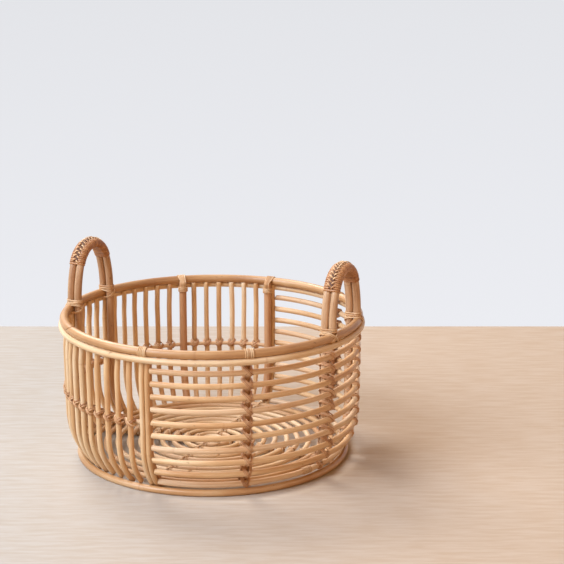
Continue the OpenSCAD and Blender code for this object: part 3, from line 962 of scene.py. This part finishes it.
# The table's colour runs between these two across it: painted light, for the fall and warm cast of the light.
TABLE_PAINTED_COOL, TABLE_PAINTED_WARM = srgb(187, 187, 184), srgb(197, 184, 169)
TABLE_PAINTED_LIGHT_FROM, TABLE_PAINTED_LIGHT_TO = 0.28, -0.3   # across the table
GRAIN_LONG, GRAIN_CLOSE = 17, 130             # how fast the grain changes along it and across it
GRAIN_SHADE = srgb(246, 240, 233)
BACKDROP_LOW, BACKDROP_HIGH = srgb(236, 237, 242), srgb(227, 228, 232)
BACKDROP_FADE = (-0.27, -0.05)                # slopes of sight that the one turns into the other between
ROOM_LIGHT = srgb(255, 192, 130)
ROOM_STRENGTH = 0.27
LIGHTS_AIM = (0, 0, 0.1)


def make_stage():
    """A pale table whose far edge runs square to the camera's view, in front of a pale backdrop. X runs to
    the table's far edge and Y across it. Its grain runs across, and its colour goes from a cool grey at one
    side to a
    warmer tone at the other: painted light, for how the light falls off and warms across the table."""
    sides = [(TABLE_EDGE, TABLE_REACH), (TABLE_EDGE, -TABLE_REACH), (-TABLE_REACH, -TABLE_REACH),
             (-TABLE_REACH, TABLE_REACH)]
    verts = [(x, y, z) for z in (0.0, -TABLE_THICK) for x, y in sides]
    faces = [(0, 1, 2, 3), (7, 6, 5, 4), (0, 4, 5, 1), (1, 5, 6, 2), (2, 6, 7, 3), (3, 7, 4, 0)]
    mesh = bpy.data.meshes.new("table")
    mesh.from_pydata(verts, [], faces)
    mesh.materials.append(table_wood())
    table = bpy.data.objects.new("table", mesh)
    table.rotation_euler = (0, 0, TABLE_TURN)
    bpy.context.scene.collection.objects.link(table)


def table_wood():
    """Pale wood with a fine grain, on the table's own axes, with painted light: its colour warms across the
    table.
    """
    material, tree = node_tree("table_wood")
    where = add(tree, "ShaderNodeTexCoord").outputs["Object"]
    place = add(tree, "ShaderNodeSeparateXYZ", {0: where}).outputs
    grain = add(tree, "ShaderNodeCombineXYZ", {"X": math_node(tree, "MULTIPLY", place["Y"], GRAIN_LONG),
                                               "Y": math_node(tree, "MULTIPLY", place["X"], GRAIN_CLOSE)})
    fine = add(tree, "ShaderNodeTexNoise", {"Vector": grain.outputs[0], "Scale": 1.0, "Detail": 5,
                                            "Roughness": 0.6}).outputs["Fac"]
    # Painted light: the colour turns from cool to warm across the table.
    share = add(tree, "ShaderNodeMapRange", {"Value": place["Y"], "From Min": TABLE_PAINTED_LIGHT_FROM,
                                             "From Max": TABLE_PAINTED_LIGHT_TO}).outputs[0]
    color = mix(tree, share, TABLE_PAINTED_COOL, TABLE_PAINTED_WARM)
    streak = ramp(tree, fine, [(0.38, GRAIN_SHADE), (0.62, WHITE)])
    color = mix(tree, 1.0, color, streak, "MULTIPLY")
    shader = add(tree, "ShaderNodeBsdfPrincipled", {"Base Color": color, "Roughness": 0.75})
    shader.inputs["Specular IOR Level"].default_value = 0.15
    add(tree, "ShaderNodeOutputMaterial", {"Surface": shader.outputs[0]})
    return material


def make_world():
    """A pale backdrop all round, a little brighter low down. It lights matt surfaces as a dim, warm room."""
    world = bpy.data.worlds.new("studio")
    bpy.context.scene.world = world
    world.use_nodes = True
    tree = world.node_tree
    tree.nodes.clear()
    way = add(tree, "ShaderNodeTexCoord").outputs["Generated"]
    height = add(tree, "ShaderNodeSeparateXYZ", {0: way}).outputs["Z"]
    share = add(tree, "ShaderNodeMapRange", {"Value": height, "From Min": BACKDROP_FADE[0],
                                             "From Max": BACKDROP_FADE[1]})
    color = ramp(tree, share.outputs[0], [(0.0, BACKDROP_LOW), (1.0, BACKDROP_HIGH)])
    shown = add(tree, "ShaderNodeBackground", {"Color": color, "Strength": 1.0})
    light = add(tree, "ShaderNodeBackground", {"Color": ROOM_LIGHT, "Strength": ROOM_STRENGTH})
    ray = add(tree, "ShaderNodeLightPath").outputs
    seen = math_node(tree, "MAXIMUM", ray["Is Camera Ray"], ray["Is Glossy Ray"])
    both = add(tree, "ShaderNodeMixShader", {0: seen, 1: light.outputs[0], 2: shown.outputs[0]})
    add(tree, "ShaderNodeOutputWorld", {"Surface": both.outputs[0]})


def make_light(name, turn, height, distance, size, power, color):
    """A round light aimed at the basket's middle. turn is its angle from the camera's side and height its
    angle above the table, in degrees."""
    data = bpy.data.lights.new(name, "AREA")
    data.shape = "DISK"
    data.size = size
    data.energy = power
    data.color = color[:3]
    light = bpy.data.objects.new(name, data)
    bpy.context.scene.collection.objects.link(light)
    turn, height = CAM_TURN + math.radians(turn), math.radians(height)
    light.location = Vector(distance * (radial(turn) * math.cos(height) + UP * math.sin(height)))
    light.rotation_mode = "QUATERNION"
    light.rotation_quaternion = (Vector(LIGHTS_AIM) - light.location).to_track_quat("-Z", "Y")


def make_lights():
    make_light("key", -61, 43, 6.0, 4.6, 476, srgb(234, 243, 255))
    make_light("back", -152, 46, 6.0, 3.0, 275, srgb(255, 244, 234))
    make_light("fill", 26, 28, 5.0, 2.8, 38, srgb(255, 187, 115))
    bpy.context.scene.view_settings.view_transform = "Standard"


make_camera()
make_stage()
make_world()
make_lights()
make_hoops()
make_posts()
make_uprights()
make_rails()
make_handles()
make_floor()
make_rail_ties()
make_splice()
make_stay_ties()
make_rim_bindings()
make_grips()
make_leg_ties()
